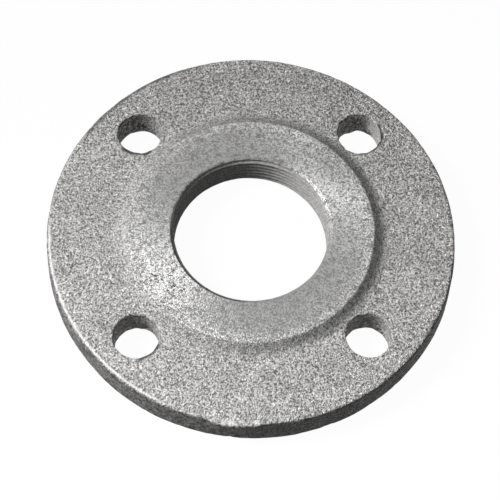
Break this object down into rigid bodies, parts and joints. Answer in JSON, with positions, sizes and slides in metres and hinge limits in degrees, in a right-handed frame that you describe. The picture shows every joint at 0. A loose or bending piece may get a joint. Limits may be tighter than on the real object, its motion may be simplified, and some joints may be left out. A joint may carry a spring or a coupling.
{
  "type": "threaded pipe flange",
  "caption": "Round galvanised cast pipe flange with a low boss, a countersunk threaded bore and plain bolt holes around it.",
  "frame": {"origin": "centre of the flat mating face, on the axis of the bore", "axes": "+Z along the bore, from the flat mating face out through the boss that the pipe screws into"},
  "size_m": [0.155, 0.1561, 0.0158],
  "materials": {
    "galvanised_iron": "hot-dip galvanised casting, matt grey zinc skin with a fine bright grain"
  },
  "bodies": {
    "root": {"flange": "galvanised_iron"}
  },
  "joints": []
}
